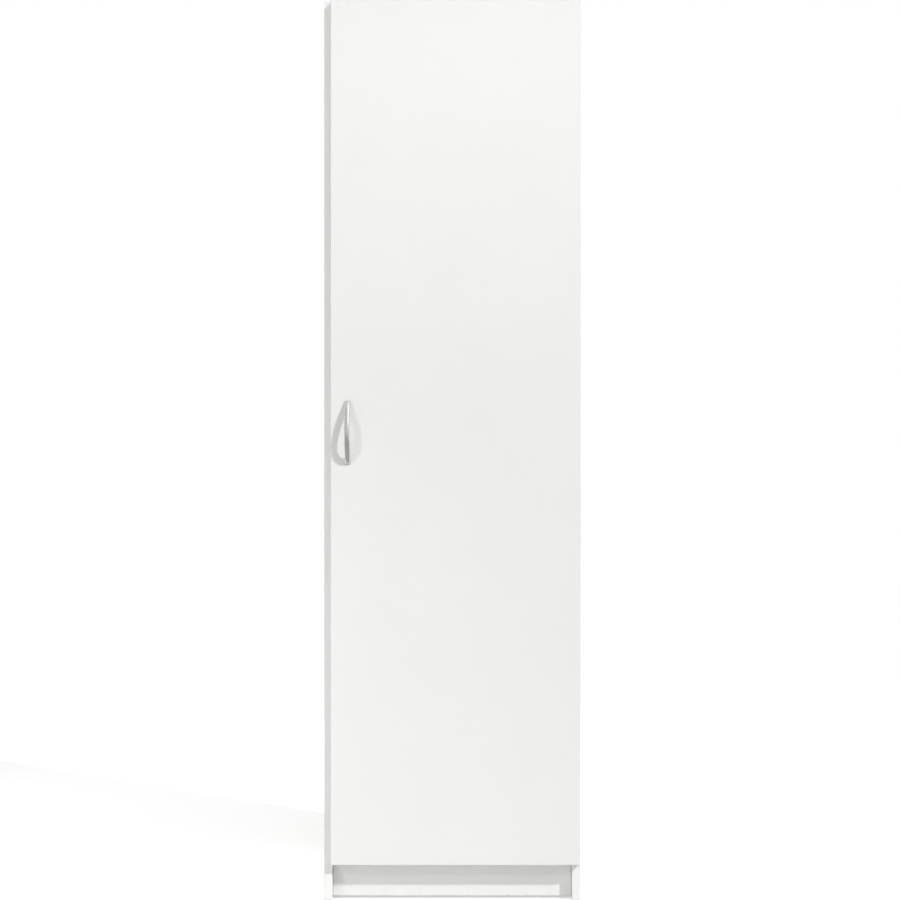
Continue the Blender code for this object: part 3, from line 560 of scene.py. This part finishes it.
def loft(sections):
    """A skin over sections of as many points each, closed at both ends."""
    shape = bmesh.new()
    rings = [[shape.verts.new(point) for point in section] for section in sections]
    for near, far in zip(rings, rings[1:]):
        for i in range(len(near)):
            shape.faces.new((near[i - 1], near[i], far[i], far[i - 1]))
    for ring in (rings[0], rings[-1]):
        shape.faces.new(ring)
    bmesh.ops.recalc_face_normals(shape, faces=shape.faces)
    return shape


def arc(centre, radii, start, end, steps):
    """Points along an elliptical arc, both ends included, with angles in degrees."""
    points = []
    for i in range(steps + 1):
        angle = math.radians(start + (end - start) * i / steps)
        points.append((centre[0] + radii[0] * math.cos(angle), centre[1] + radii[1] * math.sin(angle)))
    return points


def bow_height(place, half, rise, base):
    """Height of a flat arc over a place on its chord, which is 2 * half long."""
    radius = (half**2 + rise**2) / (2 * rise)
    return base + rise - radius + math.sqrt(radius**2 - place**2)


def handle_section(half, top, base):
    """Sideways places and heights of a section's points: eased rear edges and a crowned front."""
    ease = HANDLE_EASE
    crown = min(HANDLE_CROWN, top - base - 2 * ease)
    rear = arc((half - ease, base + ease), (ease, ease), -90, 0, EASE_STEPS)
    front = arc((0, top - crown), (half, crown), 0, 180, CROWN_STEPS)
    return rear + front + [(-x, height) for x, height in reversed(rear)]


def handle_form(material):
    """The bow handle, with rounded ends, as one smooth skin."""
    low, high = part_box("handle")
    centre = middle("handle")
    half, length, reach = (high.x - low.x) / 2, (high.z - low.z) / 2, high.y - low.y
    sections = []
    for i in range(HANDLE_STEPS + 1):
        place = -length * math.cos(math.pi * i / HANDLE_STEPS)
        short = max(0.0, HANDLE_END_ROUND - (length - abs(place)))
        inset = HANDLE_END_ROUND - math.sqrt(HANDLE_END_ROUND**2 - short**2)
        top = bow_height(place, length, reach - HANDLE_TIP, HANDLE_TIP) - inset
        in_gap = abs(place) < HANDLE_GAP
        base = bow_height(place, HANDLE_GAP, reach - HANDLE_GRIP, 0) if in_gap else 0
        outline = handle_section(half - inset, top, base)
        sections.append([(centre.x + x, high.y - height, centre.z + place) for x, height in outline])
    mesh = as_mesh("handle_form", loft(sections), material, HANDLE_SHARP)
    bar = piece("handle_form", mesh, BODIES["handle"])
    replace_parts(bar, "handle")


def cross_plug(radius, top, depth):
    """A cross that narrows downwards, to cut a recess."""
    far, wide = RECESS_ARM * radius, RECESS_WIDTH * radius
    quarter = [Vector((far, -wide)), Vector((far, wide)), Vector((wide, wide))]
    turns = [Matrix.Rotation(RECESS_TURN + i * math.pi / 2, 2) for i in range(4)]
    outline = [turn @ point for turn in turns for point in quarter]
    lower = [(p.x * RECESS_TAPER, p.y * RECESS_TAPER, top - depth) for p in outline]
    return loft([lower, [(p.x, p.y, top + depth) for p in outline]])


def screw_mesh(name, radius, height, shank_radius, shank, material):
    """A screw with a domed head and a cross recess: its head stands on z = 0, its shank lies below."""
    quarter = arc((0, 0), (radius, 1), 0, 90, DOME_STEPS)
    dome = [(r, height * (DOME_START + (1 - DOME_START) * z)) for r, z in quarter[:-1]]
    foot = [(0, -shank), (shank_radius, -shank), (shank_radius, 0), (radius * HEAD_UNDERSIDE, 0)]
    body = lathe(foot + dome + [(0, height)])
    recess = cross_plug(radius, height, RECESS_DEPTH * height)
    head = bpy.data.objects.new("head", as_mesh("head", body, material))
    plug = bpy.data.objects.new("plug", as_mesh("plug", recess, material))
    cut = head.modifiers.new("recess", "BOOLEAN")
    cut.object = plug
    for obj in (head, plug):
        link(obj)
    bpy.context.view_layer.update()
    mesh = bpy.data.meshes.new_from_object(head.evaluated_get(bpy.context.evaluated_depsgraph_get()))
    mesh.name = name
    mesh.shade_smooth()
    mesh.set_sharp_from_angle(angle=SHARP)
    for obj in (head, plug):
        bpy.data.objects.remove(obj)
    return mesh


def screw_matrix(place, outward, turn):
    """Where a screw goes whose head faces outward, with its recess turned."""
    facing = Z.rotation_difference(outward).to_matrix().to_4x4()
    return Matrix.Translation(place) @ facing @ Matrix.Rotation(turn, 4, "Z")


def screws(steel):
    """Screws of the hinges and rail brackets."""
    meshes = {kind: screw_mesh(kind, *sizes, steel) for kind, sizes in SCREWS.items()}
    rail = middle("clothes_rail")
    rows = []
    for hinge in HINGE_PLACES:
        low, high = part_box("hinge_arm_" + hinge)
        height = (low.z + high.z) / 2
        for end in (-1, 1):
            place = (PLATE_FACE, PLATE_SCREW_LINE, height + end * PLATE_SCREW_HALF)
            rows.append(("plate_screw_" + hinge, "pan_screw", place, -X, "hinge_plate_top"))
            place = (CUP_SCREW_LINE, CUP_FACE, height + end * CUP_SCREW_HALF)
            rows.append(("cup_screw_" + hinge, "flat_screw", place, Y, "hinge_cup_top"))
        place = (ARM_FACE, ARM_REAR_SCREW, height)
        rows.append(("arm_screw_" + hinge, "pan_screw", place, -X, "hinge_arm_top"))
        place = (ARM_FACE, ARM_FRONT_SCREW, height)
        rows.append(("arm_grub_" + hinge, "grub_screw", place, -X, "hinge_arm_top"))
    for side in (-1, 1):
        for end in (-1, 1):
            place = (side * BRACKET_FACE, rail.y + end * BRACKET_SCREW_HALF, rail.z)
            rows.append(("bracket_screw", "small_screw", place, -side * X, "rail_bracket_left"))
    for number, (name, kind, place, outward, node) in enumerate(rows):
        matrix = screw_matrix(place, outward, SCREW_TURN * number)
        piece(f"{name}_{number}", meshes[kind], BODIES[node], matrix)


def handle_screws(steel):
    """The two screws that hold the handle, with their heads inside the door."""
    for end in ENDS:
        node = "handle_screw_" + end
        low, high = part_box(node)
        head, radius = HANDLE_SCREW_HEAD, (high.x - low.x) / 2
        mesh = screw_mesh(node + "_form", radius, head, HANDLE_SCREW_SHANK, high.y - low.y - head, steel)
        place = (middle(node).x, high.y - head, middle(node).z)
        matrix = screw_matrix(place, Y, HANDLE_SCREW_TURNS[end])
        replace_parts(piece(node + "_form", mesh, BODIES[node], matrix), node)


def dress(name, material):
    """Gives a CAD node a finish and leaves its shape as it is."""
    mesh = NODES[name].data
    mesh.materials.clear()
    mesh.materials.append(material)


def dress_boards():
    """Finishes of the boards, with their banded edges and their bare ones."""
    dress("door_panel", board("door_panel", ("-X", "+X", "-Z", "+Z")))
    for side in SIDES:
        name = side + "_side_panel"
        dress(name, board(name, ("-Y", "+Z"), ("+Y", "-Z")))
    for name in ("top_panel", "bottom_panel", "hat_shelf"):
        dress(name, board(name, ("-Y",), ("+Y", "-X", "+X")))
    dress("plinth_board", board("plinth_board", ("+Z", "-Z"), ("-X", "+X")))
    for name in ("back_panel_lower", "back_panel_upper"):
        dress(name, back_board(name))


def dress_fittings():
    """Forms and finishes of the handle, the screws and all the fittings."""
    plate, steel = metal("nickel_plate"), metal("zinc_plate")
    zinc, plastic, rubber = cast_zinc(), moulded_plastic(), clear_rubber()
    handle_form(metal("satin_nickel"))
    handle_screws(steel)
    screws(steel)
    for place in HINGE_PLACES:
        for part in HINGE_PARTS:
            refined(f"hinge_{part}_{place}", plate, HINGE_EDGE)
    refined("clothes_rail", metal("chromed_tube"))
    for side in SIDES:
        refined("rail_bracket_" + side, steel, STEEL_EDGE)
    for corner in CORNERS:
        refined("shelf_pin_" + corner, steel, STEEL_EDGE)
        refined("glide_" + corner, plastic, PLASTIC_EDGE)
        for end in ENDS:
            refined(f"cam_lock_{end}_{corner}", zinc, CAM_EDGE)
            dress(f"cam_bolt_{end}_{corner}", zinc)
    refined("back_joint_strip", plastic, PLASTIC_EDGE)
    for end in ENDS:
        refined("door_bumper_" + end, rubber, RUBBER_EDGE)


def camera():
    lens = bpy.data.cameras.new("camera")
    lens.sensor_width = SENSOR
    lens.lens = PIXELS_PER_METRE * CAMERA_DISTANCE / PHOTO_SIZE * SENSOR
    eye = bpy.data.objects.new("camera", lens)
    eye.location = (CAMERA_PLACE[0], DOOR_FACE - CAMERA_DISTANCE, CAMERA_PLACE[1])
    eye.rotation_euler = (math.pi / 2, 0, 0)
    link(eye)
    bpy.context.scene.camera = eye


def lamp_object(name, lamp, travel):
    """A lamp that shines one way. Mirrors don't show it."""
    obj = bpy.data.objects.new(name, lamp)
    obj.rotation_mode = "QUATERNION"
    obj.rotation_quaternion = travel.to_track_quat("-Z", "Y")
    obj.visible_glossy = False
    link(obj)
    return obj


def sun(name, travel, strength, spread):
    lamp = bpy.data.lights.new(name, "SUN")
    lamp.energy = strength
    lamp.angle = spread
    lamp_object(name, lamp, Vector(travel))


def soft_box(name, place, target, size, power):
    """A wide, soft lamp that faces a target."""
    lamp = bpy.data.lights.new(name, "AREA")
    lamp.shape = "RECTANGLE"
    lamp.size, lamp.size_y = size
    lamp.energy = power
    obj = lamp_object(name, lamp, Vector(target) - Vector(place))
    obj.location = place
    obj.visible_camera = False


def lights():
    sun("key", KEY_TRAVEL, KEY_STRENGTH, KEY_SPREAD)
    sun("side", SIDE_TRAVEL, SIDE_STRENGTH, SIDE_SPREAD)
    for name, settings in SOFT_BOXES.items():
        soft_box(name, *settings)


def grey(tone):
    return (tone, tone, tone, 1)


def blank_material(name):
    """A material whose surface is still to be linked, with its node tree."""
    material = bpy.data.materials.new(name)
    material.use_nodes = True
    material.node_tree.nodes.remove(material.node_tree.nodes["Principled BSDF"])
    return material, material.node_tree


def backdrop(name, shape, material):
    """A flat piece of the studio, which isn't part of the object."""
    mesh = bpy.data.meshes.new(name)
    shape.to_mesh(mesh)
    shape.free()
    mesh.materials.append(material)
    obj = bpy.data.objects.new(name, mesh)
    link(obj)
    return obj


def card(name, tone, corners):
    """A glowing card, no lamp, that only mirrors show: a painted reflection, painted shade where it is grey
    and a painted highlight where it is brighter than white.
    """
    shape = bmesh.new()
    shape.faces.new([shape.verts.new(corner) for corner in corners])
    material, tree = blank_material(name)
    glow = tree.nodes.new("ShaderNodeEmission")
    glow.inputs["Color"].default_value = grey(tone)
    tree.links.new(glow.outputs[0], tree.nodes["Material Output"].inputs["Surface"])
    obj = backdrop(name, shape, material)
    for kind in CARD_HIDDEN_FROM:
        setattr(obj, "visible_" + kind, False)


def cards():
    for name, settings in CARDS.items():
        card(name, *settings)


def seen(tree):
    """1 for what the camera sees, directly, in a mirror or through glass."""
    path = tree.nodes.new("ShaderNodeLightPath")
    result = path.outputs["Is Camera Ray"]
    for name in ("Is Glossy Ray", "Is Transmission Ray"):
        join = tree.nodes.new("ShaderNodeMath")
        join.operation = "MAXIMUM"
        tree.links.new(result, join.inputs[0])
        tree.links.new(path.outputs[name], join.inputs[1])
        result = join.outputs[0]
    return result


def two_looks(tree, lighting, shown, surface):
    """One shader for the light that reaches the object, another for what is seen."""
    mix = tree.nodes.new("ShaderNodeMixShader")
    tree.links.new(seen(tree), mix.inputs[0])
    tree.links.new(lighting.outputs[0], mix.inputs[1])
    tree.links.new(shown.outputs[0], mix.inputs[2])
    tree.links.new(mix.outputs[0], surface)


def world():
    """White where it is seen, and an even fill light for the object."""
    studio = bpy.data.worlds.new("studio")
    bpy.context.scene.world = studio
    studio.use_nodes = True
    tree = studio.node_tree
    fill = tree.nodes["Background"]
    fill.inputs["Color"].default_value = grey(1)
    fill.inputs["Strength"].default_value = FILL_STRENGTH
    white = tree.nodes.new("ShaderNodeBackground")
    white.inputs["Color"].default_value = grey(1)
    two_looks(tree, fill, white, tree.nodes["World Output"].inputs["Surface"])


def floor():
    """A pale floor that shows white and keeps the object's shadow."""
    shape = bmesh.new()
    bmesh.ops.create_grid(shape, x_segments=1, y_segments=1, size=FLOOR_HALF)
    material, tree = blank_material("pale_floor")
    plain = tree.nodes.new("ShaderNodeBsdfDiffuse")
    plain.inputs["Color"].default_value = grey(FLOOR_TONE)
    shaded = tree.nodes.new("ShaderNodeBsdfDiffuse")
    shaded.inputs["Color"].default_value = grey(FLOOR_SHADOW)
    glow = tree.nodes.new("ShaderNodeEmission")
    glow.inputs["Strength"].default_value = FLOOR_GLOW
    bright = tree.nodes.new("ShaderNodeAddShader")
    tree.links.new(shaded.outputs[0], bright.inputs[0])
    tree.links.new(glow.outputs[0], bright.inputs[1])
    two_looks(tree, plain, bright, tree.nodes["Material Output"].inputs["Surface"])
    backdrop("floor", shape, material)


dress_boards()
dress_fittings()
camera()
world()
floor()
lights()
cards()
bpy.context.scene.view_settings.view_transform = "Standard"
